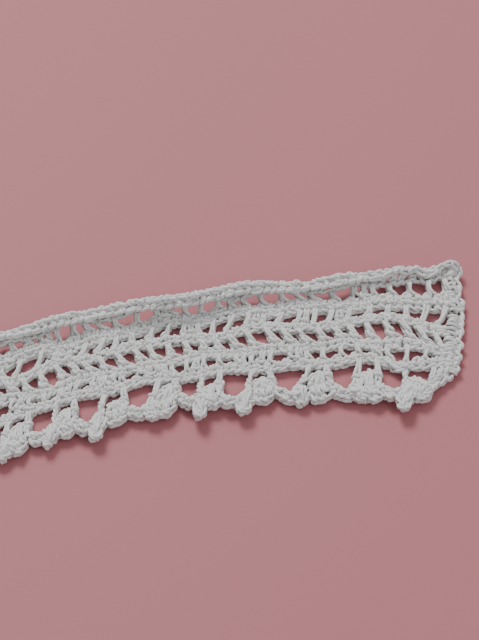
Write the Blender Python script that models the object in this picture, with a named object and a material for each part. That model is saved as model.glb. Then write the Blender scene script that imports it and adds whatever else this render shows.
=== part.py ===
"""Short length of hand-crocheted cotton lace edging, lying flat with its heading rolled up.

Metres, +Z up. Stations count stitches leftwards from the finished right end, along +X to -X. Depth is
measured along the cloth from the heading's edge towards the scallops, along +Y to -Y. The flat cloth has
its underside at z = 0.
"""

from math import cos, radians, sin

import bmesh
import bpy
from mathutils import Vector

MM = 0.001

# The cloth, laid out flat
CLOTH_THICKNESS = 0.0016
HEADING_DEPTH = 0.0028
ROW_DEPTH = 0.0041
ROWS_ABOVE_BRAID = 2
ROWS_BELOW_BRAID = 2
STITCHES = 30
REPEAT = 3
PIECE_GAP = 0.0003
LIFT_REACH = 0.0085

BEND_DEPTH = HEADING_DEPTH + ROW_DEPTH
BRAID_DEPTH = HEADING_DEPTH + ROWS_ABOVE_BRAID * ROW_DEPTH
BAND_DEPTH = BRAID_DEPTH + ROWS_BELOW_BRAID * ROW_DEPTH

# How the cloth lies: a row for each section across it.
# station: stitches from the right end.  x, y: the middle braid on the surface, in millimetres.
# lean: degrees that the section leans to +X going up the cloth.
# above, below: depth of a row on each side of the braid, in millimetres.
# rise: slope in degrees that the top row reaches as it curls up.  roll: slope at the heading's edge.
# lift: height of the scallops' tips, in millimetres.
SECTION_COLUMNS = ("station", "x", "y", "lean", "above", "below", "rise", "roll", "lift")
SECTIONS = (
    (-1.2, 35.1, -9.9, 14.0, 6.4, 3.6, 5.0, 30.0, 0.2),
    (0.0, 32.1, -8.4, 14.0, 5.9, 3.8, 6.0, 35.0, 0.4),
    (1.0, 29.7, -6.8, 14.0, 4.9, 4.3, 8.0, 40.0, 0.8),
    (2.5, 25.9, -5.0, 12.0, 4.3, 4.7, 14.0, 55.0, 1.2),
    (4.5, 20.3, -4.3, 11.0, 4.0, 4.4, 26.0, 85.0, 0.6),
    (7.0, 13.1, -4.2, 11.0, 3.9, 4.1, 34.0, 105.0, 0.5),
    (9.5, 6.0, -3.7, 11.0, 3.9, 4.2, 40.0, 115.0, 0.7),
    (12.0, -0.9, -3.4, 11.0, 4.2, 4.1, 52.0, 120.0, 1.1),
    (15.0, -8.8, -3.9, 11.0, 4.1, 4.0, 68.0, 125.0, 1.2),
    (18.0, -16.7, -4.3, 11.0, 4.2, 3.9, 62.0, 125.0, 0.7),
    (21.0, -24.8, -5.2, 10.0, 4.1, 4.0, 46.0, 115.0, 1.0),
    (24.0, -32.6, -6.7, 10.0, 4.1, 4.1, 38.0, 105.0, 0.6),
    (27.0, -40.4, -8.4, 9.0, 4.1, 4.1, 26.0, 85.0, 0.8),
    (30.0, -48.1, -10.3, 8.0, 4.2, 4.0, 12.0, 50.0, 0.5),
    (31.2, -51.3, -11.2, 8.0, 4.2, 3.9, 8.0, 40.0, 0.3),
)

# The short ends, worked over: a row for each point down an end.
# depth: share of the band's depth.
# right, left: stitches that the end stands out past the first and last column.
END_COLUMNS = ("depth", "right", "left")
ENDS = (
    (0.00, 0.90, 0.75),
    (0.12, 1.15, 0.95),
    (0.42, 1.12, 0.90),
    (0.60, 0.92, 1.00),
    (0.78, 1.12, 0.85),
    (1.00, 1.00, 0.80),
)

# One repeat of the scalloped edging: a row for each line across it.
# across: stitches from the eyelet's middle, leftwards.
# top, foot: the eyelet's upper and lower edge below the band, in millimetres.
# hem: the scallop's edge.  eyelet: the line crosses the eyelet or is its side.
REPEAT_COLUMNS = ("across", "top", "foot", "hem", "eyelet")
REPEAT_LINES = (
    (-1.50, 2.1, 4.6, 6.9, False),
    (-1.22, 2.0, 4.8, 6.6, False),
    (-0.98, 1.8, 4.8, 7.3, False),
    (-0.70, 1.2, 4.6, 7.6, True),
    (-0.35, 1.0, 5.1, 7.2, True),
    (0.05, 1.1, 4.8, 6.6, True),
    (0.42, 1.1, 4.3, 5.9, True),
    (0.70, 1.5, 3.5, 4.9, True),
    (0.90, 2.0, 3.9, 6.0, False),
    (1.20, 2.1, 4.4, 6.9, False),
)

# The scallops are uneven: a row for each repeat, from the right end.
# size: scale of its eyelet.  picot: how much lower its picot hangs, in millimetres.
SCALLOP_COLUMNS = ("size", "picot")
SCALLOPS = (
    (0.90, 1.9),
    (1.05, 0.3),
    (1.03, 0.1),
    (0.92, 1.1),
    (0.86, 1.5),
    (1.00, 0.4),
    (0.94, 1.1),
    (0.90, 0.5),
    (1.00, 0.8),
)
PICOT_ACROSS = -0.84
PICOT_WIDTH = 0.55
EYELET_MIDDLE = 3.0
EYELET_CELL = 1

# The edging's own ends: a row for each line, from the band's corner to the first and last whole scallop.
# station: stitches in from the outer column.  The other columns are those of a repeat.
EDGING_END_REACH = 1.9
EDGING_END_COLUMNS = ("station", "top", "foot", "hem", "eyelet")
EDGING_ENDS = (
    (-0.90, 0.7, 1.2, 1.7, False),
    (-0.40, 0.9, 1.7, 2.5, False),
    (0.05, 1.1, 2.1, 3.3, False),
    (0.35, 1.4, 3.2, 5.8, False),
    (0.80, 1.5, 3.6, 6.7, True),
    (1.25, 1.2, 3.9, 6.6, True),
    (1.70, 1.8, 4.3, 6.8, True),
)

COTTON_COLOUR = (0.80, 0.82, 0.83, 1.0)
COTTON_ROUGHNESS = 0.85


def between(rows, columns, key, value):
    """A dictionary of the columns at this value of the key, on a smooth curve through the rows."""
    spot = columns.index(key)
    last = len(rows) - 2
    first = min(max(sum(row[spot] <= value for row in rows) - 1, 0), last)
    before, low, high, after = (rows[min(max(first + step, 0), last + 1)] for step in (-1, 0, 1, 2))
    span = high[spot] - low[spot]
    share = (value - low[spot]) / span
    found = {}
    for index, name in enumerate(columns):
        slope_in = (high[index] - before[index]) / (high[spot] - before[spot]) * span
        slope_out = (after[index] - low[index]) / (after[spot] - low[spot]) * span
        change = high[index] - low[index]
        bend = share * (1 - share)
        found[name] = (
            low[index]
            + change * share
            + bend * ((1 - share) * (slope_in - change) - share * (slope_out - change))
        )
    return found


def arc(length, start, end):
    """How far along and up a run of this length goes while its slope turns evenly from start to end."""
    turn = end - start
    if abs(turn) < radians(0.1):
        return length * cos(start), length * sin(start)
    radius = length / turn
    return radius * (sin(end) - sin(start)), radius * (cos(start) - cos(end))


def curl(depth, row, rise, roll):
    """Along and up from the bend line to this depth, through the curled top row and heading."""
    into_row = min(BEND_DEPTH - depth, ROW_DEPTH) / ROW_DEPTH
    along, up = arc(into_row * row, 0.0, into_row * rise)
    if depth < HEADING_DEPTH:
        into_heading = (HEADING_DEPTH - depth) / HEADING_DEPTH
        more = arc(HEADING_DEPTH - depth, rise, rise + into_heading * (roll - rise))
        along += more[0]
        up += more[1]
    return along, up


def cloth_point(station, depth):
    """The cloth's underside at this station and depth."""
    section = between(SECTIONS, SECTION_COLUMNS, "station", station)
    lean = radians(section["lean"])
    above = section["above"] * MM
    below = section["below"] * MM
    up = 0.0
    if depth > BAND_DEPTH:
        along = -ROWS_BELOW_BRAID * below - (depth - BAND_DEPTH)
        up = section["lift"] * MM * min((depth - BAND_DEPTH) / LIFT_REACH, 1.0) ** 2
    elif depth > BRAID_DEPTH:
        along = -(depth - BRAID_DEPTH) / ROW_DEPTH * below
    elif depth > BEND_DEPTH:
        along = (BRAID_DEPTH - depth) / ROW_DEPTH * above
    else:
        run, up = curl(depth, above, radians(section["rise"]), radians(section["roll"]))
        along = above + run
    return Vector((section["x"] * MM + along * sin(lean), section["y"] * MM + along * cos(lean), up))


def cotton():
    """White crochet cotton."""
    material = bpy.data.materials.new("crochet_cotton")
    material.use_nodes = True
    shader = material.node_tree.nodes["Principled BSDF"]
    shader.inputs["Base Color"].default_value = COTTON_COLOUR
    shader.inputs["Roughness"].default_value = COTTON_ROUGHNESS
    shader.inputs["Metallic"].default_value = 0.0
    material.diffuse_color = COTTON_COLOUR
    return material


def cloth_object(name, lines, openings, material):
    """A sheet through lines of points across it, given its thickness, with the cells of openings left out."""
    mesh = bpy.data.meshes.new(name)
    sheet = bmesh.new()
    columns = [[sheet.verts.new(point) for point in line] for line in lines]
    for index in range(len(columns) - 1):
        here, there = columns[index], columns[index + 1]
        for cell in range(len(here) - 1):
            if (index, cell) not in openings:
                sheet.faces.new((here[cell], there[cell], there[cell + 1], here[cell + 1]))
    bmesh.ops.recalc_face_normals(sheet, faces=sheet.faces)
    if sum(face.normal.z for face in sheet.faces) < 0:
        bmesh.ops.reverse_faces(sheet, faces=sheet.faces)
    sheet.to_mesh(mesh)
    sheet.free()
    mesh.shade_smooth()
    obj = bpy.data.objects.new(name, mesh)
    bpy.context.collection.objects.link(obj)
    obj.data.materials.append(material)
    thickness = obj.modifiers.new("cloth_thickness", "SOLIDIFY")
    thickness.thickness = CLOTH_THICKNESS
    thickness.offset = 1.0
    thickness.use_even_offset = True
    return obj


def band_lines():
    """Lines of points across the band, two to a stitch, from the right end to the left."""
    curled = [HEADING_DEPTH * step / 3 for step in range(3)]
    curled += [HEADING_DEPTH + ROW_DEPTH * step / 4 for step in range(4)]
    flat = [BEND_DEPTH, BRAID_DEPTH, BRAID_DEPTH + ROW_DEPTH, BAND_DEPTH]
    count = 2 * STITCHES + 3
    lines = []
    for index in range(count):
        share = index / (count - 1)
        line = []
        for depth in curled + flat:
            end = between(ENDS, END_COLUMNS, "depth", depth / BAND_DEPTH)
            station = -end["right"] + share * (STITCHES + end["right"] + end["left"])
            line.append(cloth_point(station, depth))
        lines.append(line)
    return lines


def edging_rows():
    """The edging's lines in order of station, each a dictionary of its columns."""
    rows = []
    for line in EDGING_ENDS:
        row = dict(zip(EDGING_END_COLUMNS, line))
        rows.append(row)
        rows.append({**row, "station": STITCHES - row["station"]})
    for number, scallop in enumerate(SCALLOPS):
        size, picot = scallop
        for line in REPEAT_LINES:
            row = dict(zip(REPEAT_COLUMNS, line))
            row["station"] = REPEAT * (number + 1) + row["across"]
            if not EDGING_END_REACH < row["station"] < STITCHES - EDGING_END_REACH:
                continue
            for edge in ("top", "foot"):
                row[edge] = EYELET_MIDDLE + (row[edge] - EYELET_MIDDLE) * size
            row["hem"] += picot * max(0.0, 1 - abs(row["across"] - PICOT_ACROSS) / PICOT_WIDTH)
            rows.append(row)
    return sorted(rows, key=lambda row: row["station"])


def edging_lines(rows):
    """Lines of points across the edging, from the band's lower edge to the scallops' hem."""
    lines = []
    for row in rows:
        edges = (row["top"], row["foot"], (row["foot"] + row["hem"]) / 2, row["hem"])
        depths = [BAND_DEPTH + PIECE_GAP] + [BAND_DEPTH + edge * MM for edge in edges]
        lines.append([cloth_point(row["station"], depth) for depth in depths])
    return lines


def build():
    """The band and its scalloped edging, as two objects."""
    material = cotton()
    band = cloth_object("lace_band", band_lines(), [], material)
    rows = edging_rows()
    eyelets = [
        (index, EYELET_CELL)
        for index in range(len(rows) - 1)
        if rows[index]["eyelet"] and rows[index + 1]["eyelet"]
    ]
    edging = cloth_object("eyelet_edging", edging_lines(rows), eyelets, material)
    return band, edging


def centre(pieces):
    """Moves the pieces' meshes so that their shared box is centred on the origin in X and Y."""
    bpy.context.view_layer.update()
    graph = bpy.context.evaluated_depsgraph_get()
    corners = [Vector(corner) for piece in pieces for corner in piece.evaluated_get(graph).bound_box]
    middle = [(min(c[axis] for c in corners) + max(c[axis] for c in corners)) / 2 for axis in (0, 1)]
    lowest = min(corner.z for corner in corners)
    for piece in pieces:
        piece.location = (-middle[0], -middle[1], -lowest)


for old in list(bpy.data.objects):
    bpy.data.objects.remove(old, do_unlink=True)
centre(build())
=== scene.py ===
"""Short length of hand-crocheted cotton lace edging, its thread laid stitch by stitch.

The cloth is first planned flat, in millimetres: the first number runs leftwards from the finished right
end, the second runs down the cloth from the heading to the scallops, and the third stands up from its
middle. It is then carried onto the cloth as it lies, the thread settles against itself, and a plied cotton
thread is swept along it.
"""

import logging
import math
from collections.abc import Callable
from dataclasses import dataclass, field
from enum import Enum

import bpy
import numpy as np
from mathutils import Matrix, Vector


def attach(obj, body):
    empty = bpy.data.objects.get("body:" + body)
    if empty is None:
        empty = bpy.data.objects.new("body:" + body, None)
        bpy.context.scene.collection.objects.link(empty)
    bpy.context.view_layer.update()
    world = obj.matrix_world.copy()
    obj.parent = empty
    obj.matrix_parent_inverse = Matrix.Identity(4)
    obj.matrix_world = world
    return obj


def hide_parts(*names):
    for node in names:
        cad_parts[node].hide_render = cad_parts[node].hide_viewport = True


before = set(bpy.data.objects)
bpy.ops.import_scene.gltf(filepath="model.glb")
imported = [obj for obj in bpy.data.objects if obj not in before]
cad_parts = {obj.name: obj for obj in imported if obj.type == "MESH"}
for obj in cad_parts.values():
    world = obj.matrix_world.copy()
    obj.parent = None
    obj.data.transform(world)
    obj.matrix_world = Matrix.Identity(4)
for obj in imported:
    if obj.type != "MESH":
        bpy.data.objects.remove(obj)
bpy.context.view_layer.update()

log = logging.getLogger("lace")
MM = 0.001
SEED = 11
PLIES = 3
FAR_APART = 1000000

# The columns of posts are PITCH millimetres apart. The band has STITCHES of them, and a scallop REPEAT.
PITCH = 2.75
STITCHES = 30
REPEAT = 3

Point = tuple[float, float]
Ends = tuple[Point, Point]
Place = tuple[float, float, float]
Colour = tuple[float, float, float, float]


@dataclass(frozen=True)
class Thread:
    """Crochet cotton of three plies, in millimetres.

    pressed is how near two threads may come, as a share of the diameter, and ply_depth is the depth of the
    grooves between plies, as a share of the radius. lay is the length of one turn of the plies. The swept
    thread has a ring of so many sides after every ring_spacing.
    """

    diameter: float = 0.53
    pressed: float = 0.78
    ply_depth: float = 0.13
    lay: float = 2.4
    ring_spacing: float = 0.27
    sides: int = 9


class At(Enum):
    """The places of a stitch that the points of its path are told from, in thread diameters."""

    BASE = "where it goes into the row before"
    LOWER = "half-way from the base to the middle"
    MIDDLE = "where a treble is drawn through for the first time"
    UPPER = "half-way from the middle to the head"
    HEAD = "where its last loop is drawn through"
    NEXT = "the head of the stitch after it"


Spot = tuple[At, float, float, float]


def spots(at: At, *offsets: Place) -> tuple[Spot, ...]:
    """Names the place of points: along the work, away from the row before, and to its front."""
    return tuple((at, *offset) for offset in offsets)


UNDER = ((-0.4, -0.4, -0.8), (-0.4, -0.75, 0.0), (-0.4, -0.4, 0.8))
BACK_UNDER = ((0.4, -0.4, 0.8), (0.4, -0.75, 0.0), (0.4, -0.4, -0.8))
INSERT = spots(At.BASE, (-0.4, 0.6, -1.2), *UNDER, (-0.4, 0.6, 1.1))
DRAW_BACK = spots(At.BASE, (0.4, 0.6, 1.1), *BACK_UNDER, (0.4, 0.6, -1.2))
DRAWN = ((-0.55, -1.0, 0.1), (0.0, -0.75, -0.35), (0.55, -1.0, 0.1))
CLOSE = spots(At.HEAD, (-0.55, -1.5, 0.65), *DRAWN, (0.55, -1.5, 0.65))
RISE = spots(At.HEAD, (-0.2, -1.9, -0.9), (-0.35, -1.5, 0.0), (-0.35, -0.9, 0.5))
LOOP = (
    spots(At.HEAD, (-0.35, -0.1, 0.3), (0.2, 0.5, 0.5), (1.4, 0.5, 0.65))
    + spots(At.NEXT, (-0.6, 0.25, 0.6), (0.5, -0.05, 0.55), (1.0, -0.1, 0.0))
    + spots(At.NEXT, (0.5, -0.05, -0.55), (-0.6, 0.25, -0.6))
    + spots(At.HEAD, (1.4, 0.5, -0.65), (0.4, 0.5, -0.45), (0.35, -0.1, 0.0))
)
TAIL = spots(At.HEAD, (0.35, -0.9, 0.35), (0.3, -1.5, 0.0), (0.35, -1.8, -0.9))


class StitchKind(Enum):
    """The thread's path through each kind of stitch."""

    CHAIN = spots(At.HEAD, (-1.2, -1.1, 0.0), (-0.6, -1.0, 0.0)) + LOOP + spots(At.HEAD, (0.6, -1.0, 0.0))
    FLAT_CHAIN = (
        spots(At.HEAD, (-0.5, 0.0, -0.35), (0.1, -0.7, 0.3), (0.9, -1.1, 0.35))
        + spots(At.NEXT, (0.0, -0.8, 0.45), (0.8, 0.0, 0.6), (0.0, 0.8, 0.45))
        + spots(At.HEAD, (0.9, 1.1, 0.35), (0.1, 0.7, 0.3), (-0.3, 0.1, -0.6), (0.6, 0.1, -0.7))
    )
    DOUBLE = (
        spots(At.HEAD, (-1.3, -1.4, -1.2))
        + spots(At.LOWER, (-0.15, 0.0, -1.25))
        + spots(At.BASE, (-0.2, 0.6, -1.3), *UNDER, (-0.25, 0.6, 1.1))
        + spots(At.LOWER, (-0.2, 0.0, 0.5))
        + CLOSE
        + spots(At.LOWER, (0.2, 0.0, 1.2))
        + spots(At.BASE, (0.25, 0.6, 1.2), *BACK_UNDER, (0.2, 0.6, -1.1))
        + spots(At.LOWER, (0.1, 0.0, -0.5))
        + RISE
        + LOOP
        + TAIL
    )
    TREBLE = (
        spots(At.MIDDLE, (-1.7, 1.5, -1.25), (-0.3, 0.9, -1.35), (1.05, 0.6, -0.75), (1.3, 0.4, 0.15))
        + spots(At.MIDDLE, (0.6, 0.25, 1.1), (-0.6, 0.1, 1.15), (-1.25, -0.15, 0.25), (-1.0, -0.55, -0.85))
        + spots(At.LOWER, (-0.3, 0.0, -0.95))
        + INSERT
        + spots(At.LOWER, (-0.45, 0.0, 0.9))
        + spots(At.MIDDLE, (-0.6, -0.9, 0.75), (-0.6, -0.3, 0.15), (0.0, -0.05, -0.35))
        + spots(At.MIDDLE, (0.6, -0.3, 0.15), (0.6, -0.9, 0.75))
        + spots(At.LOWER, (0.45, 0.0, 0.9))
        + DRAW_BACK
        + spots(At.LOWER, (0.3, 0.0, -0.95))
        + spots(At.MIDDLE, (0.1, -1.2, -0.85), (-0.3, -0.85, 0.0), (-0.35, -0.2, 0.6), (-0.45, 1.0, 0.75))
        + spots(At.UPPER, (-0.5, 0.0, 0.75))
        + CLOSE
        + spots(At.UPPER, (0.5, 0.0, 0.75))
        + spots(At.MIDDLE, (0.45, 1.0, 0.7), (0.35, -0.2, 0.55), (0.3, -0.85, 0.0), (0.35, -1.1, -0.85))
        + spots(At.MIDDLE, (1.0, 0.0, -1.5), (0.7, 1.3, -1.5))
        + spots(At.UPPER, (0.2, 0.2, -1.2))
        + RISE
        + LOOP
        + TAIL
    )
    OVER_EDGE = (
        spots(At.BASE, (-0.6, 0.6, -1.4), (-0.5, -0.6, -1.3), (-0.45, -1.2, 0.0))
        + spots(At.BASE, (-0.45, -0.6, 1.3), (-0.45, 0.6, 1.5))
        + spots(At.LOWER, (-0.45, 0.2, 1.2))
        + CLOSE
        + spots(At.LOWER, (0.45, 0.2, 1.2))
        + spots(At.BASE, (0.45, 0.6, 1.5), (0.45, -0.6, 1.3), (0.45, -1.2, 0.0))
        + spots(At.BASE, (0.5, -0.6, -1.3), (0.6, 0.6, -1.4))
        + spots(At.LOWER, (0.1, 0.2, -1.2))
        + RISE
        + LOOP
        + TAIL
    )


def linked(name: str, data: bpy.types.ID) -> bpy.types.Object:
    """Adds an object to the scene."""
    obj = bpy.data.objects.new(name, data)
    bpy.context.collection.objects.link(obj)
    return obj


class Side(Enum):
    """The side of the cloth that faces the maker while a row is worked."""

    RIGHT = 1
    WRONG = -1


@dataclass
class Stitch:
    """One stitch planned on the flat cloth, in millimetres.

    middle is where a treble is drawn through for the first time, as a share of its post from the base.
    """

    kind: StitchKind
    base: Point
    head: Point
    middle: float = 0.62


@dataclass
class Strand:
    """A run of stitches worked without a turn."""

    stitches: list[Stitch]
    side: Side
    finish: Point | None = None
    height: float = 0.0

    def path(self, thread: Thread) -> np.ndarray:
        """Places the path's points on the flat cloth.

        Args:
            thread: The thread, whose diameter is the unit of the stitches' offsets.

        Returns:
            One row for each point, in millimetres.
        """
        heads = [np.array(stitch.head, float) for stitch in self.stitches]
        after = np.array(self.finish, float) if self.finish else 2 * heads[-1] - heads[-2]
        first = 2 * heads[0] - heads[1]
        line = [first, *heads, after]
        points = []
        for number, stitch in enumerate(self.stitches):
            before, head, ahead = line[number : number + 3]
            along = (ahead - before) / np.linalg.norm(ahead - before)
            away = -self.side.value * np.array([-along[1], along[0]])
            base = np.array(stitch.base, float)
            post = head - base
            length = float(np.linalg.norm(post))
            up = post / length if length > 1e-6 else away
            middle = base + post * stitch.middle
            places = {
                At.BASE: base,
                At.LOWER: (base + (middle if stitch.kind is StitchKind.TREBLE else head)) / 2,
                At.MIDDLE: middle,
                At.UPPER: (middle + head) / 2,
                At.HEAD: head,
                At.NEXT: ahead,
            }
            for at, run, rise, front in stitch.kind.value:
                lift = away if at in (At.HEAD, At.NEXT) or (at is At.BASE and rise < 0) else up
                spot = places[at] + (along * run + lift * rise) * thread.diameter
                points.append((spot[0], spot[1], self.height + self.side.value * front * thread.diameter))
        return np.array(points)


@dataclass
class ClothLay:
    """How the cloth lies: the same sections as the solid it replaces, in millimetres and degrees.

    The columns of a section are its station in stitches from the right end, the place x and y of its middle
    line, its lean, the depth of a row above and below that line, the heading's rise and roll, and the lift of
    the scallops.
    """

    heading: float = 2.8
    row: float = 4.1
    lift_reach: float = 8.5
    centring: Point = (6.81, 9.414)
    mid_height: float = 0.85
    sections: tuple[tuple[float, ...], ...] = (
        (-1.2, 35.1, -9.9, 14, 6.4, 3.6, 5, 30, 0.2),
        (0, 32.1, -8.4, 14, 5.9, 3.8, 6, 35, 0.4),
        (1, 29.7, -6.8, 14, 4.9, 4.3, 8, 40, 0.8),
        (2.5, 25.9, -5, 12, 4.3, 4.7, 14, 55, 1.2),
        (4.5, 20.3, -4.3, 11, 4, 4.4, 26, 85, 0.6),
        (7, 13.1, -4.2, 11, 3.9, 4.1, 34, 105, 0.5),
        (9.5, 6, -3.7, 11, 3.9, 4.2, 40, 115, 0.7),
        (12, -0.9, -3.4, 11, 4.2, 4.1, 52, 120, 1.1),
        (15, -8.8, -3.9, 11, 4.1, 4, 68, 125, 1.2),
        (18, -16.7, -4.3, 11, 4.2, 3.9, 62, 125, 0.7),
        (21, -24.8, -5.2, 10, 4.1, 4, 46, 115, 1),
        (24, -32.6, -6.7, 10, 4.1, 4.1, 38, 105, 0.6),
        (27, -40.4, -8.4, 9, 4.1, 4.1, 26, 85, 0.8),
        (30, -48.1, -10.3, 8, 4.2, 4, 12, 50, 0.5),
        (31.2, -51.3, -11.2, 8, 4.2, 3.9, 8, 40, 0.3),
    )

    def section(self, station: np.ndarray) -> np.ndarray:
        """Reads the sections on a smooth curve through them.

        Args:
            station: Stitches from the right end, one for each point.

        Returns:
            A row for each point with the columns of the sections.
        """
        table = np.array(self.sections)
        key = table[:, 0]
        last = len(table) - 2
        first = np.clip(np.searchsorted(key, station, "right") - 1, 0, last)
        before, low, high, after = (table[np.clip(first + step, 0, last + 1)] for step in (-1, 0, 1, 2))
        span = (high[:, :1] - low[:, :1])
        share = (station[:, None] - low[:, :1]) / span
        slope_in = (high - before) / (high[:, :1] - before[:, :1]) * span
        slope_out = (after - low) / (after[:, :1] - low[:, :1]) * span
        change = high - low
        bend = share * (1 - share)
        sway = (1 - share) * (slope_in - change) - share * (slope_out - change)
        return low + change * share + bend * sway

    @staticmethod
    def arc(length: np.ndarray, start: np.ndarray, end: np.ndarray) -> tuple[np.ndarray, np.ndarray]:
        """How far along and up a run goes while its slope turns evenly.

        Args:
            length: The run's length.
            start: Its first slope, in radians.
            end: Its last slope, in radians.

        Returns:
            The distances along and up.
        """
        least = 1e-3
        turn = np.where(np.abs(end - start) < least, least, end - start)
        radius = length / turn
        end = start + turn
        return radius * (np.sin(end) - np.sin(start)), radius * (np.cos(start) - np.cos(end))

    def underside(self, across: np.ndarray, down: np.ndarray) -> np.ndarray:
        """Places points of the flat cloth on its underside as it lies.

        Args:
            across: Millimetres leftwards from the right end.
            down: Millimetres from the heading's edge.

        Returns:
            One row for each point.
        """
        _, x, y, lean, above, below, rise, roll, lift = self.section(across / PITCH).T
        lean, rise, roll = (np.radians(angle) for angle in (lean, rise, roll))
        bend = self.heading + self.row
        braid = self.heading + 2 * self.row
        band = braid + 2 * self.row
        into_row = np.clip((bend - down) / self.row, 0, 1)
        run, up = self.arc(into_row * above, np.zeros_like(rise), into_row * rise)
        into_heading = np.maximum(self.heading - down, 0) / self.heading
        more = self.arc(into_heading * self.heading, rise, rise + into_heading * (roll - rise))
        along = np.select(
            [down > band, down > braid, down > bend],
            [
                -2 * below - (down - band),
                -(down - braid) / self.row * below,
                (braid - down) / self.row * above,
            ],
            above + run + more[0],
        )
        lifted = lift * np.clip((down - band) / self.lift_reach, 0, 1) ** 2
        height = np.where(down > band, lifted, up + more[1])
        return np.stack([x + along * np.sin(lean), y + along * np.cos(lean), height], 1)

    def place(self, flat: np.ndarray) -> np.ndarray:
        """Carries flat points onto the cloth as it lies.

        Args:
            flat: Points across, down and above the middle of the flat cloth.

        Returns:
            The points in the frame of the part, in millimetres.
        """
        across, down, front = flat.T
        here = self.underside(across, down)
        step = 0.2
        leftwards = self.underside(across + step, down) - here
        downwards = self.underside(across, down + step) - here
        normal = np.cross(leftwards, downwards)
        normal /= np.linalg.norm(normal, axis=1)[:, None]
        placed = here + normal * (self.mid_height + front)[:, None]
        placed[:, :2] += self.centring
        return placed


@dataclass
class Unevenness:
    """The differences between one stitch and the next, in millimetres."""

    spread: float = 0.14
    drift: float = 0.2
    wobble: float = 0.11
    waves: int = 9
    longest: float = 24.0
    shortest: float = 6.0
    rng: np.random.Generator = field(default_factory=lambda: np.random.default_rng(SEED))

    def __post_init__(self) -> None:
        """Draws the slow waves that loosen and tighten the cloth from place to place."""
        length = self.rng.uniform(self.shortest, self.longest, self.waves)
        heading = self.rng.uniform(0, 2 * math.pi, self.waves)
        self.wave = np.stack([np.cos(heading), np.sin(heading)], 1) * (2 * math.pi / length)[:, None]
        self.phase = self.rng.uniform(0, 2 * math.pi, self.waves)
        self.push = self.rng.normal(0.0, self.drift, (self.waves, 2))

    def near(self, across: float, down: float, loose: float = 1.0) -> Point:
        """Moves a planned point a little.

        Args:
            across: Its first number.
            down: Its second number.
            loose: Scale of its own shift.

        Returns:
            The moved point.
        """
        slow = np.sin(self.wave @ (across, down) + self.phase) @ self.push
        shift = slow + self.rng.normal(0.0, self.spread, 2) * loose
        return across + shift[0], down + shift[1]

    def shaken(self, points: np.ndarray) -> np.ndarray:
        """Moves every point of a path by itself, as a hand never draws two loops alike."""
        return points + self.rng.normal(0.0, self.wobble, points.shape)

    def share(self, middle: float, spread: float) -> float:
        """Gives a number near another."""
        return middle + float(self.rng.normal(0.0, spread))


@dataclass(frozen=True)
class Row:
    """A row worked across the whole band, with two heads to each column.

    top and foot are the depths of its bases and its heads. slant is how many columns a base lies left of its
    head, and shifts gives how far left of its column a post stands, in columns, from place to place. The
    holes left of the columns in filled are worked over. post is the kind of its stitches, and turn is how far
    the thread runs on past the last one, in columns.
    """

    side: Side
    top: float
    foot: float
    openwork: bool = False
    slant: float = 0.0
    shifts: tuple[Point, ...] = ((0.0, 0.0),)
    filled: tuple[int, ...] = ()
    post: StitchKind = StitchKind.DOUBLE
    turn: float = 0.4

    def strand(self, uneven: Unevenness) -> Strand:
        """Plans the row's stitches in the order that they are worked.

        Args:
            uneven: The differences between stitches.

        Returns:
            The row as one strand.
        """
        marks, shifts = zip(*self.shifts)
        halves = range(2 * STITCHES + 1)
        stitches = []
        for half in halves if self.side is Side.WRONG else halves[::-1]:
            middle = half / 2 + float(np.interp(half / 2, marks, shifts))
            base = uneven.near((middle + self.slant / 2) * PITCH, self.top)
            head = uneven.near((middle - self.slant / 2) * PITCH, self.foot)
            kind = self.post
            if self.openwork and half % 2:
                kind = StitchKind.TREBLE if half // 2 in self.filled else StitchKind.CHAIN
            stitches.append(Stitch(kind, base, head))
        step = self.turn if self.side is Side.WRONG else -self.turn
        end = stitches[-1].head
        return Strand(stitches, self.side, (end[0] + step * PITCH, end[1]))


@dataclass
class Heading:
    """The foundation chain, a second chain over it, and the close row worked into them.

    over_height is how far the second chain stands above the middle of the cloth. bump is how much its edge
    swells, bump_stitches how many chains a swelling takes, and bump_spread how much that varies.
    """

    chain_depth: float = 0.2
    chain_height: float = -0.25
    over_depth: float = 0.35
    over_height: float = 0.75
    bump: float = 0.6
    bump_stitches: float = 1.6
    bump_spread: float = 0.6
    loose: float = 1.5
    wall: Row = Row(Side.RIGHT, 0.8, 2.6)
    wall_height: float = -0.25

    def strands(self, uneven: Unevenness) -> list[Strand]:
        """Plans the chains and the close row.

        Args:
            uneven: The differences between stitches.

        Returns:
            The three strands.
        """
        chain, over = [], []
        wall = self.wall.strand(uneven)
        wall.height = self.wall_height
        for half in range(-1, 2 * STITCHES + 2):
            head = uneven.near(half / 2 * PITCH, self.chain_depth)
            chain.append(Stitch(StitchKind.CHAIN, head, head))
        for half in range(-2, 2 * STITCHES + 1):
            phase = math.pi * (half + uneven.share(0.0, self.bump_spread)) / self.bump_stitches
            swell = self.bump * math.sin(phase)
            head = uneven.near((half + 0.5) / 2 * PITCH, self.over_depth + swell, self.loose)
            over.append(Stitch(StitchKind.FLAT_CHAIN, head, head))
        return [
            Strand(chain, Side.WRONG, height=self.chain_height),
            Strand(over, Side.RIGHT, height=self.over_height),
            wall,
        ]


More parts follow.
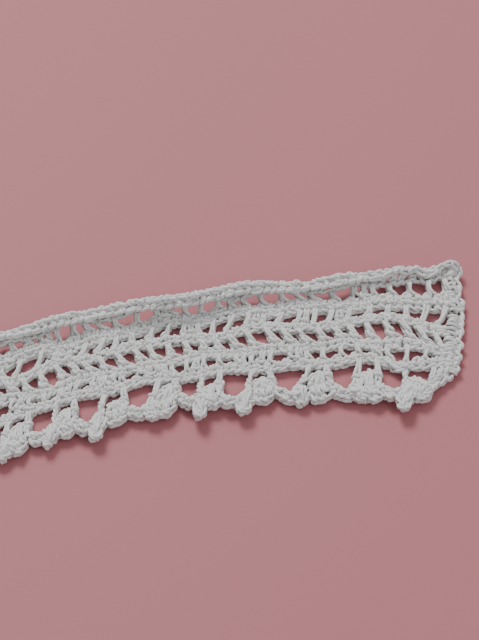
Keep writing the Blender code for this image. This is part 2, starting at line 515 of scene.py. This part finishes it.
@dataclass
class Band:
    """The band: rows of spaced posts between close rows."""

    first: Row = Row(
        Side.WRONG,
        3.2,
        6.0,
        openwork=True,
        slant=0.2,
        shifts=((0, 0.0), (4, 0.1), (7, 0.5), (30, 0.5)),
        filled=(4, 16, 23),
    )
    second: Row = Row(
        Side.RIGHT,
        7.8,
        10.5,
        openwork=True,
        slant=-0.15,
        shifts=((0, 0.15), (3.5, 0.15), (6, 0.5), (22, 0.5), (25, 0.8)),
        filled=(5, 7, 10, 14, 22, 27),
    )
    third: Row = Row(
        Side.WRONG,
        11.4,
        14.85,
        openwork=True,
        slant=0.6,
        shifts=((0, 0.05), (30, 0.2)),
        post=StitchKind.TREBLE,
    )
    fourth: Row = Row(
        Side.WRONG,
        15.85,
        18.35,
        openwork=True,
        slant=-0.1,
        filled=(8, 10, 11, 14, 16, 17, 19, 20, 22, 25, 28),
    )
    above_second: tuple[Row, ...] = (Row(Side.RIGHT, 6.15, 6.8), Row(Side.WRONG, 6.95, 7.7))
    above_third: Row = Row(Side.RIGHT, 10.6, 11.2)
    above_fourth: Row = Row(Side.RIGHT, 15.0, 15.7)
    last: Row = Row(Side.RIGHT, 18.5, 19.0)

    def strands(self, uneven: Unevenness) -> list[Strand]:
        """Plans every row, from the heading down."""
        rows = [self.first, *self.above_second, self.second, self.above_third, self.third]
        rows += [self.above_fourth, self.fourth, self.last]
        return [row.strand(uneven) for row in rows]


@dataclass
class Edging:
    """The scalloped picot edging: posts, picots, clusters and the chains below the eyelets.

    Across is leftwards from an eyelet's middle, and down is below the band, in millimetres. A scallop has the
    size of its eyelet, as a scale, and how much lower its picot hangs. picot_hang is the share of that for
    each of the picot's stitches, and base_hang for where they start. post_wrap is where a post's thread is
    wound round it, and cut_stitches is how many stitches of the last repeat the left end cuts off.
    """

    band_foot: float = 19.2
    near_post: Ends = ((-3.0, 0.0), (-2.3, 5.2))
    far_post: Ends = ((-5.9, 0.0), (-6.4, 4.2))
    picot: tuple[Point, ...] = ((-1.6, 6.3), (-1.9, 7.2), (-2.7, 7.5), (-3.3, 6.7))
    picot_base: Point = (-2.5, 5.1)
    picot_hang: tuple[float, ...] = (0.4, 0.9, 1.0, 0.6)
    base_hang: float = 0.3
    post_wrap: float = 0.55
    cut_stitches: int = 9
    cluster: tuple[Ends, ...] = (
        ((-3.8, 3.1), (-3.8, 5.1)),
        ((-4.4, 2.7), (-4.7, 5.2)),
        ((-5.0, 2.4), (-5.6, 5.0)),
    )
    crown: tuple[Ends, ...] = (
        ((-6.3, 4.7), (-6.7, 5.9)),
        ((-5.5, 5.2), (-5.8, 6.9)),
        ((-4.7, 5.3), (-4.7, 7.1)),
        ((-3.9, 5.3), (-3.7, 6.6)),
    )
    bar: tuple[Point, ...] = ((-3.2, 3.2), (-4.0, 2.7), (-4.8, 2.4), (-5.6, 2.3))
    chain: tuple[Point, ...] = ((-7.0, 5.2), (-7.8, 6.0), (-8.7, 6.4), (-9.6, 6.3))
    arc_depth: float = 0.6
    arc_grip: float = 0.1
    eyelet_middle: float = 3.0
    left_post: Ends = ((-0.9, 0.0), (-1.2, 3.6))
    left_corner: tuple[Ends, ...] = (
        ((-2.4, 4.4), (-2.2, 6.2)),
        ((-3.4, 4.4), (-3.6, 6.2)),
    )
    right_corner: tuple[tuple[StitchKind, Point, Point, float], ...] = (
        (StitchKind.DOUBLE, (3.3, 4.2), (3.4, 6.2), 0.62),
        (StitchKind.DOUBLE, (2.4, 4.0), (2.2, 5.9), 0.62),
        (StitchKind.TREBLE, (0.9, 0.0), (1.4, 4.4), 0.55),
        (StitchKind.TREBLE, (-0.2, 0.0), (0.3, 3.2), 0.5),
        (StitchKind.DOUBLE, (-1.3, 0.0), (-1.1, 1.9), 0.62),
    )
    finish: Point = (-2.0, 1.0)
    right_arc: tuple[Point, ...] = ((5.0, 4.6), (3.9, 4.6), (2.9, 4.4), (1.9, 3.9))
    left_arc: tuple[Point, ...] = ((1.5, 3.6), (2.6, 4.2), (3.7, 4.5), (4.8, 4.5))
    scallops: tuple[Point, ...] = (
        *((0.90, 1.9), (1.05, 0.3), (1.03, 0.1), (0.92, 1.1), (0.86, 1.5)),
        *((1.00, 0.4), (0.94, 1.1), (0.90, 0.5), (1.00, 0.8), (0.95, 0.6)),
    )

    def spot(self, number: int, point: Point, uneven: Unevenness) -> Point:
        """Places a point of one repeat on the flat cloth."""
        return uneven.near(number * REPEAT * PITCH + point[0], self.band_foot + point[1])

    def stitch(
        self, number: int, uneven: Unevenness, base: Point, head: Point, kind: StitchKind = StitchKind.DOUBLE
    ) -> Stitch:
        """Places a stitch of one repeat, its base before its head."""
        placed = Stitch(kind, self.spot(number, base, uneven), self.spot(number, head, uneven))
        if kind is StitchKind.TREBLE:
            placed.middle = self.post_wrap
        return placed

    def scaled(self, down: float, size: float) -> float:
        """Moves a depth with the size of its eyelet."""
        return self.eyelet_middle + (down - self.eyelet_middle) * size

    def repeat(self, number: int, uneven: Unevenness, last: bool) -> list[Stitch]:
        """Plans one repeat, from its first post to the chains below the next eyelet.

        Args:
            number: The eyelet on its left, counted from the right end.
            uneven: The differences between stitches.
            last: True for the repeat beside the finished end, which has no second post.

        Returns:
            The stitches in the order that they are worked.
        """
        size, drop = self.scallops[number - 1]
        foot, top = self.near_post
        stitches = [self.stitch(number, uneven, foot, (top[0], top[1] * size), StitchKind.TREBLE)]
        foot = (self.picot_base[0], self.picot_base[1] + drop * self.base_hang)
        for share, point in zip(self.picot_hang, self.picot):
            stitches.append(self.stitch(number, uneven, foot, (point[0], point[1] + drop * share)))
        stitches += [self.stitch(number, uneven, base, head) for base, head in self.cluster]
        if last:
            return stitches
        foot, top = self.far_post
        head = self.spot(number, (top[0], top[1] * size), uneven)
        base = self.spot(number, foot, uneven)
        stitches.append(Stitch(StitchKind.TREBLE, base, head, self.post_wrap))
        size = self.scallops[number - 2][0]
        for point in self.chain:
            head = self.spot(number, (point[0], self.scaled(point[1], size)), uneven)
            stitches.append(Stitch(StitchKind.FLAT_CHAIN, head, head))
        return stitches

    def strands(self, uneven: Unevenness) -> list[Strand]:
        """Plans the whole edging, from the left end to the finished right end.

        Args:
            uneven: The differences between stitches.

        Returns:
            The edging's strands.
        """
        left = STITCHES * PITCH
        foot = self.band_foot
        base, head = self.left_post
        top = (left + head[0], foot + head[1])
        stitches = [Stitch(StitchKind.TREBLE, (left + base[0], foot), top, self.post_wrap)]
        for base, head in self.left_corner:
            start, end = (left + base[0], foot + base[1]), (left + head[0], foot + head[1])
            stitches.append(Stitch(StitchKind.DOUBLE, start, end))
        count = len(self.scallops)
        for number in range(count, 0, -1):
            skipped = self.cut_stitches if number == count else 0
            stitches += self.repeat(number, uneven, number == 1)[skipped:]
        for kind, base, head, wrap in self.right_corner:
            stitches.append(Stitch(kind, (base[0], foot + base[1]), (head[0], foot + head[1]), wrap))
        arc = [Stitch(StitchKind.FLAT_CHAIN, (x, foot + y), (x, foot + y)) for x, y in self.right_arc]
        outer = [(left - x, foot + y) for x, y in self.left_arc]
        far_arc = [Stitch(StitchKind.FLAT_CHAIN, point, point) for point in outer]
        extras = [strand for number in range(1, count + 1) for strand in self.extras(number, uneven)]
        return [
            Strand(stitches, Side.RIGHT, (self.finish[0], foot + self.finish[1])),
            Strand(arc, Side.RIGHT),
            Strand(far_arc, Side.WRONG),
            *extras,
        ]

    def extras(self, number: int, uneven: Unevenness) -> list[Strand]:
        """Plans the chain below a cluster, the cluster's edge and the stitches over the arc beside it.

        Args:
            number: The eyelet on its left, counted from the right end.
            uneven: The differences between stitches.

        Returns:
            The strands, without the arc at the finished end.
        """
        points = [self.spot(number, point, uneven) for point in self.bar]
        bar = [Stitch(StitchKind.FLAT_CHAIN, point, point) for point in points]
        crown = [self.stitch(number, uneven, base, head) for base, head in self.crown]
        planned = [Strand(bar, Side.RIGHT), Strand(crown, Side.WRONG)]
        if number > 1:
            size = self.scallops[number - 2][0]
            arc = []
            for across, down in self.chain[::-1]:
                down = self.scaled(down, size)
                base, head = (across, down + self.arc_grip), (across, down + self.arc_depth)
                arc.append(self.stitch(number, uneven, base, head))
            planned.append(Strand(arc, Side.WRONG))
        return planned


@dataclass
class WorkedEnd:
    """Double crochet worked over the posts at one short end of the band.

    reach is how far its edge stands past the column, and stagger how much less every second stitch does.
    turn is how the thread leaves its last stitch.
    """

    column: float
    outwards: int
    reach: float
    top: float = 1.0
    foot: float = 20.0
    stitches: int = 18
    grip: float = 0.35
    stagger: float = 0.3
    loose: float = 0.8
    turn: Point = (0.9, 0.5)

    def strand(self, uneven: Unevenness) -> Strand:
        """Plans the edge, upwards at the right end and downwards at the left.

        Args:
            uneven: The differences between stitches.

        Returns:
            The edge as one strand.
        """
        planned = []
        start, end = (self.foot, self.top) if self.outwards < 0 else (self.top, self.foot)
        for number in range(self.stitches):
            down = start + (end - start) * (number / (self.stitches - 1))
            reach = self.reach - self.stagger * (number % 2)
            base = uneven.near(self.column + self.outwards * self.grip, down)
            head = uneven.near(self.column + self.outwards * reach, down, self.loose)
            planned.append(Stitch(StitchKind.OVER_EDGE, base, head))
        last = planned[-1].head
        finish = (last[0] - self.outwards * self.turn[0], last[1] + self.outwards * self.turn[1])
        return Strand(planned, Side.RIGHT, finish)


@dataclass
class Settler:
    """Lets the thread settle: it shortens, rests against itself and lies on the table.

    step, margin, longest_move and apart_along are in thread diameters. The nearby nodes are looked for again
    after every recheck rounds, out to margin past the touching distance.
    """

    thread: Thread
    step: float = 0.5
    rounds: int = 240
    tension: float = 0.11
    hold: float = 0.02
    push: float = 0.35
    curve_samples: int = 8
    recheck: int = 8
    margin: float = 0.35
    longest_move: float = 0.12
    apart_along: float = 1.6

    def smooth(self, points: np.ndarray) -> np.ndarray:
        """Runs a smooth curve through points and divides it evenly.

        Args:
            points: The points of one strand, in millimetres.

        Returns:
            Nodes half a thread diameter apart.
        """
        ends = np.vstack([2 * points[0] - points[1], points, 2 * points[-1] - points[-2]])
        share = np.linspace(0, 1, self.curve_samples + 1)[:-1][None, :, None]
        first, low, high, last = (ends[k : len(ends) - 3 + k][:, None] for k in range(4))
        curve = 0.5 * (
            2 * low
            + (high - first) * share
            + (2 * first - 5 * low + 4 * high - last) * share**2
            + (3 * low - first - 3 * high + last) * share**3
        )
        curve = np.vstack([curve.reshape(-1, 3), points[-1:]])
        run = np.concatenate([[0.0], np.cumsum(np.linalg.norm(np.diff(curve, axis=0), axis=1))])
        nodes = max(int(round(run[-1] / (self.step * self.thread.diameter))), 4)
        even = np.linspace(0, run[-1], nodes + 1)
        return np.stack([np.interp(even, run, curve[:, axis]) for axis in range(3)], 1)

    @staticmethod
    def near(nodes: np.ndarray, order: np.ndarray, reach: float, skip: int) -> tuple[np.ndarray, np.ndarray]:
        """Finds nodes close to each other, apart from neighbours along the thread.

        Args:
            nodes: All nodes.
            order: Each node's number along its strand, far apart from one strand to the next.
            reach: The distance in millimetres.
            skip: How many neighbours along the thread are left out.

        Returns:
            The two ends of each pair.
        """
        cell = np.floor(nodes / reach).astype(np.int64)
        cell -= cell.min(0) - 1
        size = cell.max(0) + 3
        key = (cell[:, 0] * size[1] + cell[:, 1]) * size[2] + cell[:, 2]
        ranked = np.argsort(key, kind="stable")
        keys = key[ranked]
        steps = (-1, 0, 1)
        beside = [(x, y, z) for x in (0, 1) for y in steps for z in steps if (x, y, z) >= (0, 0, 0)]
        ones, others = [], []
        for x, y, z in beside:
            wanted = key + (x * size[1] + y) * size[2] + z
            low = np.searchsorted(keys, wanted, "left")
            count = np.searchsorted(keys, wanted, "right") - low
            one = np.repeat(np.arange(len(nodes)), count)
            place = np.arange(len(one)) - np.repeat(np.cumsum(count) - count, count)
            other = ranked[np.repeat(low, count) + place]
            if (x, y, z) == (0, 0, 0):
                one, other = one[one < other], other[one < other]
            gap = nodes[one] - nodes[other]
            close = np.einsum("ij,ij->i", gap, gap) < reach * reach
            close &= np.abs(order[one] - order[other]) > skip
            ones.append(one[close])
            others.append(other[close])
        return np.concatenate(ones), np.concatenate(others)

    def settle(self, strands: list[np.ndarray]) -> list[np.ndarray]:
        """Moves every strand's nodes until the thread rests against itself.

        Args:
            strands: The nodes of each strand.

        Returns:
            The settled nodes of each strand.
        """
        diameter = self.thread.diameter
        touch = diameter * self.thread.pressed
        nodes = np.vstack(strands)
        held = nodes.copy()
        starts = np.cumsum([0] + [len(strand) for strand in strands])
        order = np.concatenate([np.arange(len(strand)) + FAR_APART * k for k, strand in enumerate(strands)])
        before = np.arange(len(nodes)) - 1
        after = np.arange(len(nodes)) + 1
        before[starts[:-1]] = starts[:-1]
        after[starts[1:] - 1] = starts[1:] - 1
        inner = (before != np.arange(len(nodes))) & (after != np.arange(len(nodes)))
        skip = int(math.ceil(self.apart_along / self.step))
        for turn in range(self.rounds):
            if turn % self.recheck == 0:
                one, other = self.near(nodes, order, touch + self.margin * diameter, skip)
            pull = 0.5 * (nodes[before] + nodes[after]) - nodes
            pull[~inner] = 0
            move = self.tension * pull + self.hold * (held - nodes)
            gap = nodes[one] - nodes[other]
            apart = np.sqrt(np.einsum("ij,ij->i", gap, gap)) + 1e-9
            pressed = apart < touch
            force = (self.push * (touch - apart[pressed]) / apart[pressed])[:, None] * gap[pressed]
            for axis in range(3):
                move[:, axis] += np.bincount(one[pressed], force[:, axis], len(nodes))
                move[:, axis] -= np.bincount(other[pressed], force[:, axis], len(nodes))
            size = np.sqrt(np.einsum("ij,ij->i", move, move))
            nodes = nodes + move * np.minimum(1, self.longest_move * diameter / (size + 1e-9))[:, None]
            nodes[:, 2] = np.maximum(nodes[:, 2], diameter / 2)
        return [nodes[starts[k] : starts[k + 1]] for k in range(len(strands))]


class NodeBench:
    """Makes and links nodes in a tree."""

    def __init__(self, tree: bpy.types.NodeTree) -> None:
        """Starts on an empty tree."""
        self.tree = tree
        tree.nodes.clear()

    def node(self, kind: str, settings: dict | None = None, **sockets: object) -> bpy.types.Node:
        """Adds a node, sets it up and feeds its sockets.

        Args:
            kind: The node's type.
            settings: Its properties, set first.
            sockets: Values or links for its inputs, by name with _ for a space, or s and a number.

        Returns:
            The node.
        """
        made = self.tree.nodes.new(kind)
        for name, value in (settings or {}).items():
            setattr(made, name, value)
        for name, value in sockets.items():
            plain = name.replace("_", " ")
            numbered = name[0] == "s" and name[1:].isdigit()
            socket = made.inputs[int(name[1:])] if numbered else made.inputs[plain]
            self.feed(socket, value)
        return made

    def feed(self, socket: bpy.types.NodeSocket, value: object) -> None:
        """Links a socket from a signal, an output or a node's first output, or sets its value."""
        if isinstance(value, Signal):
            value = value.socket
        if isinstance(value, bpy.types.Node):
            value = value.outputs[0]
        if isinstance(value, bpy.types.NodeSocket):
            self.tree.links.new(value, socket)
        else:
            socket.default_value = value

    def signal(self, socket: bpy.types.NodeSocket) -> "Signal":
        """Wraps an output so that sums can be written with it."""
        return Signal(self, socket)


def operators(operation: str) -> tuple[Callable, Callable]:
    """Makes an operator's plain and reflected methods."""

    def plain(this: "Signal", other: object) -> "Signal":
        """Puts this signal first."""
        return this.maths(operation, this, other)

    def reflected(this: "Signal", other: object) -> "Signal":
        """Puts this signal second."""
        return this.maths(operation, other, this)

    return plain, reflected


@dataclass(frozen=True)
class Signal:
    """A number that varies over a surface or along a curve."""

    bench: NodeBench
    socket: bpy.types.NodeSocket

    def maths(self, operation: str, *values: object) -> "Signal":
        """Adds a Math node, and gives its result."""
        sockets = {f"s{index}": value for index, value in enumerate(values)}
        made = self.bench.node("ShaderNodeMath", {"operation": operation}, **sockets)
        return Signal(self.bench, made.outputs[0])

    __add__, __radd__ = operators("ADD")
    __sub__, __rsub__ = operators("SUBTRACT")
    __mul__, __rmul__ = operators("MULTIPLY")
    __truediv__, __rtruediv__ = operators("DIVIDE")


@dataclass(frozen=True)
class CottonFinish:
    """Soft white mercerised cotton: three plies of fine fibres, matt with a faint lustre.

    The shares say how much the plies, the fibres and the slow patches brighten the thread from its grooves:
    the darker groove colour is painted shade between the plies, while the fibres and patches vary the tone at
    random.
    """

    colour: Colour = (0.75, 0.745, 0.73, 1.0)
    # painted shade: the darker colour painted into the grooves between the plies
    painted_groove_shade: Colour = (0.73, 0.725, 0.71, 1.0)
    roughness: float = 0.45
    sheen: float = 0.25
    sheen_roughness: float = 0.5
    specular: float = 0.5
    fibre_bump: float = 0.35
    fibre_depth: float = 0.00006
    fibre_scale: float = 9.0
    fibre_length: float = 250.0
    patch_scale: float = 260.0
    # how strongly the ply crest paints shade into the grooves
    ply_shade_share: float = 0.5
    fibre_share: float = 0.3
    patch_share: float = 0.25
    darkest: float = 0.28

    def material(self) -> bpy.types.Material:
        """Builds the finish.

        Returns:
            A material that reads the thread's own attributes.
        """
        made = bpy.data.materials.new("crochet_cotton_thread")
        made.use_nodes = True
        bench = NodeBench(made.node_tree)
        ring = bench.node("ShaderNodeAttribute", {"attribute_name": "ring"})
        along = bench.signal(bench.node("ShaderNodeAttribute", {"attribute_name": "along"}).outputs["Fac"])
        split = bench.node("ShaderNodeSeparateXYZ", Vector=ring.outputs["Vector"])
        lengthwise = bench.node(
            "ShaderNodeCombineXYZ", X=split.outputs[0], Y=split.outputs[1], Z=along * self.fibre_length
        )
        fibres = bench.node(
            "ShaderNodeTexNoise", Vector=lengthwise, Scale=self.fibre_scale, Detail=2.0, Roughness=0.6
        )
        patches = bench.node("ShaderNodeTexNoise", Scale=self.patch_scale, Detail=2.0)
        place = bench.node("ShaderNodeTexCoord")
        bench.feed(patches.inputs["Vector"], place.outputs["Object"])
        # The ply crest paints shade into the grooves between plies; the fibre and patch noise add random
        # tone.
        lobe = bench.signal(split.outputs[2])
        shade = lobe * self.ply_shade_share + 0.5 + bench.signal(fibres.outputs[0]) * self.fibre_share
        shade = shade + bench.signal(patches.outputs[0]) * self.patch_share - self.darkest
        colour = bench.node(
            "ShaderNodeMix",
            {"data_type": "RGBA", "clamp_factor": True},
            s0=shade,
            s6=self.painted_groove_shade,
            s7=self.colour,
        )
        bump = bench.node(
            "ShaderNodeBump", Strength=self.fibre_bump, Distance=self.fibre_depth, Height=fibres
        )
        shader = bench.node(
            "ShaderNodeBsdfPrincipled",
            Roughness=self.roughness,
            Base_Color=colour.outputs[2],
            Normal=bump,
            Sheen_Weight=self.sheen,
            Sheen_Roughness=self.sheen_roughness,
            Specular_IOR_Level=self.specular,
        )
        output = bench.node("ShaderNodeOutputMaterial", Surface=shader)
        made.node_tree.nodes.active = output
        return made


@dataclass
class ThreadSweep:
    """Sweeps the plied thread along every strand of a piece."""

    thread: Thread
    material: bpy.types.Material

    def tree(self) -> bpy.types.NodeTree:
        """Builds the geometry nodes that sweep the thread.

        Returns:
            The node group, with named inputs for the thread's sizes.
        """
        group = bpy.data.node_groups.new("plied_thread", "GeometryNodeTree")
        inputs = {"Strands": "Geometry", "Diameter": "Float", "Ply Depth": "Float", "Lay Length": "Float"}
        inputs |= {"Ring Spacing": "Float", "Sides": "Int", "Cotton": "Material"}
        for name, kind in inputs.items():
            group.interface.new_socket(name, in_out="INPUT", socket_type=f"NodeSocket{kind}")
        group.interface.new_socket("Thread", in_out="OUTPUT", socket_type="NodeSocketGeometry")
        bench = NodeBench(group)
        given = bench.node("NodeGroupInput")
        curves = bench.node("GeometryNodeMeshToCurve", Mesh=given.outputs["Strands"])
        smooth = bench.node("GeometryNodeCurveSplineType", {"spline_type": "CATMULL_ROM"}, Curve=curves)
        even = bench.node(
            "GeometryNodeResampleCurve",
            {"mode": "LENGTH"},
            Curve=smooth,
            Length=given.outputs["Ring Spacing"],
        )
        travelled = bench.node("GeometryNodeSplineParameter")
        length = bench.signal(travelled.outputs["Length"])
        turned = bench.node(
            "GeometryNodeSetCurveTilt",
            Curve=even,
            Tilt=length / bench.signal(given.outputs["Lay Length"]) * (-2 * math.pi),
        )
        measured = bench.node(
            "GeometryNodeStoreNamedAttribute",
            {"data_type": "FLOAT", "domain": "POINT"},
            Geometry=turned,
            Name="along",
            Value=length,
        )
        circle = bench.node(
            "GeometryNodeCurvePrimitiveCircle", Resolution=given.outputs["Sides"], Radius=1.0
        )
        around = bench.node("GeometryNodeSplineParameter")
        turn = bench.signal(around.outputs["Factor"]) * (PLIES * 2 * math.pi)
        plies = turn.maths("COSINE", turn)
        spot = bench.node("GeometryNodeInputPosition")
        swell = bench.signal(given.outputs["Ply Depth"]) * plies + 1.0
        lobed = bench.node("ShaderNodeVectorMath", {"operation": "SCALE"}, Vector=spot, Scale=swell)
        shaped = bench.node("GeometryNodeSetPosition", Geometry=circle, Position=lobed)
        unit = bench.node("GeometryNodeInputPosition")
        apart = bench.node("ShaderNodeSeparateXYZ", Vector=unit)
        # The ring's third number is the ply crest, which the finish uses to paint shade into the grooves
        # between plies.
        ring = bench.node("ShaderNodeCombineXYZ", X=apart.outputs[0], Y=apart.outputs[1], Z=plies)
        named = bench.node(
            "GeometryNodeStoreNamedAttribute",
            {"data_type": "FLOAT_VECTOR", "domain": "POINT"},
            Geometry=shaped,
            Name="ring",
            Value=ring,
        )
        sized = bench.node("GeometryNodeTransform", Geometry=named)
        half = bench.signal(given.outputs["Diameter"]) * 0.5
        scale = bench.node("ShaderNodeCombineXYZ", X=half, Y=half, Z=1.0)
        bench.feed(sized.inputs["Scale"], scale.outputs[0])
        swept = bench.node("GeometryNodeCurveToMesh", Curve=measured, Profile_Curve=sized, Fill_Caps=True)
        rounded = bench.node("GeometryNodeSetShadeSmooth", Geometry=swept)
        real = bench.node("GeometryNodeRealizeInstances", Geometry=rounded)
        dressed = bench.node("GeometryNodeSetMaterial", Geometry=real, Material=given.outputs["Cotton"])
        bench.node("NodeGroupOutput", Thread=dressed)
        return group

    def piece(self, name: str, strands: list[np.ndarray], group: bpy.types.NodeTree) -> bpy.types.Object:
        """Makes one piece of thread from settled strands.

        Args:
            name: The piece's name.
            strands: The nodes of each strand, in millimetres.
            group: The node group that sweeps them.

        Returns:
            A plain mesh object at the origin.
        """
        nodes = np.vstack(strands) * MM
        edges = []
        start = 0
        for strand in strands:
            edges += [(start + step, start + step + 1) for step in range(len(strand) - 1)]
            start += len(strand)
        line = bpy.data.meshes.new(f"{name}_line")
        line.from_pydata(nodes.tolist(), edges, [])
        obj = linked(name, line)
        sweep = obj.modifiers.new("thread", "NODES")
        sweep.node_group = group
        sizes = {
            "Diameter": self.thread.diameter * MM,
            "Ply Depth": self.thread.ply_depth,
            "Lay Length": self.thread.lay * MM,
            "Ring Spacing": self.thread.ring_spacing * MM,
            "Sides": self.thread.sides,
            "Cotton": self.material,
        }
        for item in group.interface.items_tree:
            if item.in_out == "INPUT" and item.name in sizes:
                sweep[item.identifier] = sizes[item.name]
        graph = bpy.context.evaluated_depsgraph_get()
        swept = bpy.data.meshes.new_from_object(
            obj.evaluated_get(graph), preserve_all_data_layers=True, depsgraph=graph
        )
        obj.modifiers.remove(sweep)
        obj.data = swept
        bpy.data.meshes.remove(line)
        return obj


@dataclass
class LaceTrim:
    """The whole trim, planned flat, laid down, settled and swept."""

    thread: Thread = field(default_factory=Thread)
    lay: ClothLay = field(default_factory=ClothLay)
    heading: Heading = field(default_factory=Heading)
    band: Band = field(default_factory=Band)
    edging: Edging = field(default_factory=Edging)
    right_end: WorkedEnd = field(default_factory=lambda: WorkedEnd(column=-0.6, outwards=-1, reach=2.0))
    left_end: WorkedEnd = field(
        default_factory=lambda: WorkedEnd(column=STITCHES * PITCH + 0.3, outwards=1, reach=1.9)
    )
    finish: CottonFinish = field(default_factory=CottonFinish)

    def plan(self, uneven: Unevenness) -> dict[str, list[Strand]]:
        """Plans every strand, by the piece that it belongs to.

        Args:
            uneven: The differences between stitches.

        Returns:
            The strands of each piece.
        """
        heading = self.heading.strands(uneven)
        rows = self.band.strands(uneven)
        edging = self.edging.strands(uneven)
        return {
            "heading_and_first_row": heading + rows[:1],
            "upper_rows": rows[1:4],
            "middle_rows": rows[4:6],
            "lower_rows": rows[6:],
            "scalloped_edging": edging[:3],
            "clusters_and_arcs": edging[3:],
            "worked_ends": [self.right_end.strand(uneven), self.left_end.strand(uneven)],
        }

    def build(self) -> dict[str, bpy.types.Object]:
        """Makes the pieces.

        Returns:
            The pieces by name.
        """
        uneven = Unevenness()
        planned = self.plan(uneven)
        settler = Settler(self.thread)
        laid = [
            settler.smooth(self.lay.place(uneven.shaken(strand.path(self.thread))))
            for strands in planned.values()
            for strand in strands
        ]
        settled = iter(settler.settle(laid))
        sweep = ThreadSweep(self.thread, self.finish.material())
        group = sweep.tree()
        pieces = {}
        for name, strands in planned.items():
            nodes = [next(settled) for _ in strands]
            pieces[name] = sweep.piece(name, nodes, group)
            run = sum(float(np.linalg.norm(np.diff(strand, axis=0), axis=1).sum()) for strand in nodes)
            triangles = sum(len(face.vertices) - 2 for face in pieces[name].data.polygons)
            log.info("%s: %.2f m of thread, %d triangles", name, run * MM, triangles)
        return pieces

    def declare(self, pieces: dict[str, bpy.types.Object]) -> None:
        """Attaches each piece to the root body and hides the solid part that it stands for."""
        for name, piece in pieces.items():
            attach(piece, "root")
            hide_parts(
                "eyelet_edging" if name in ("scalloped_edging", "clusters_and_arcs") else "lace_band"
            )


@dataclass
class Tabletop:
    """The plain pale surface that the trim lies on."""

    size: float = 1.6
    colour: Colour = (0.475, 0.174, 0.190, 1.0)
    roughness: float = 0.6
    specular: float = 0.2

    def build(self) -> None:
        """Makes the surface."""
        half = self.size / 2
        mesh = bpy.data.meshes.new("tabletop")
        corners = [(-half, -half, 0), (half, -half, 0), (half, half, 0), (-half, half, 0)]
        mesh.from_pydata(corners, [], [(0, 1, 2, 3)])
        obj = linked("tabletop", mesh)
        material = bpy.data.materials.new("pale_rose_tabletop")
        material.use_nodes = True
        shader = material.node_tree.nodes["Principled BSDF"]
        shader.inputs["Base Color"].default_value = self.colour
        shader.inputs["Roughness"].default_value = self.roughness
        shader.inputs["Specular IOR Level"].default_value = self.specular
        mesh.materials.append(material)


@dataclass(frozen=True)
class Softbox:
    """A square softbox: its name, place and side in metres, and power in watts."""

    name: str
    place: Place
    size: float
    power: float

    def hang(self) -> None:
        """Hangs the softbox so that it faces the trim."""
        light = bpy.data.lights.new(self.name, "AREA")
        light.shape = "SQUARE"
        light.size = self.size
        light.energy = self.power
        obj = linked(self.name, light)
        obj.location = self.place
        obj.rotation_euler = (-Vector(self.place)).to_track_quat("-Z", "Y").to_euler()


@dataclass
class Studio:
    """The camera and the soft light, in metres and degrees."""

    elevation: float = 50.0
    yaw: float = -8.5
    distance: float = 0.320
    frame_height: float = 0.1056
    aim: Place = (0.00681, 0.009414, 0.0)
    sensor: float = 36.0
    softboxes: tuple[Softbox, ...] = (
        Softbox("window_softbox", (-0.2, 0.8, 0.9), 0.45, 12.5),
        Softbox("fill_softbox", (0.6, -0.7, 0.9), 0.8, 2.5),
    )
    room_colour: Colour = (0.95, 0.97, 1.0, 1.0)
    room_strength: float = 0.53

    def camera(self) -> None:
        """Sets the camera at the photograph's angle."""
        tilt, turn = math.radians(self.elevation), math.radians(self.yaw)
        flat = math.cos(tilt)
        look = Vector((-math.sin(turn) * flat, math.cos(turn) * flat, -math.sin(tilt)))
        lens = bpy.data.cameras.new("camera")
        lens.sensor_fit = "VERTICAL"
        lens.sensor_height = self.sensor
        lens.lens = self.sensor * self.distance / self.frame_height
        lens.clip_start = 0.01
        lens.clip_end = 10.0
        obj = linked("camera", lens)
        obj.location = Vector(self.aim) - look * self.distance
        obj.rotation_euler = look.to_track_quat("-Z", "Y").to_euler()
        bpy.context.scene.camera = obj

    def build(self) -> None:
        """Sets up the camera, the lights and the room's own light."""
        self.camera()
        for softbox in self.softboxes:
            softbox.hang()
        world = bpy.data.worlds.new("studio")
        world.use_nodes = True
        room = world.node_tree.nodes["Background"]
        room.inputs["Color"].default_value = self.room_colour
        room.inputs["Strength"].default_value = self.room_strength
        bpy.context.scene.world = world


def main() -> None:
    """Builds the studio and the trim."""
    logging.basicConfig(level=logging.INFO, format="%(message)s")
    Studio().build()
    Tabletop().build()
    trim = LaceTrim()
    pieces = trim.build()
    trim.declare(pieces)
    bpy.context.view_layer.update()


if __name__ == "__main__":
    main()
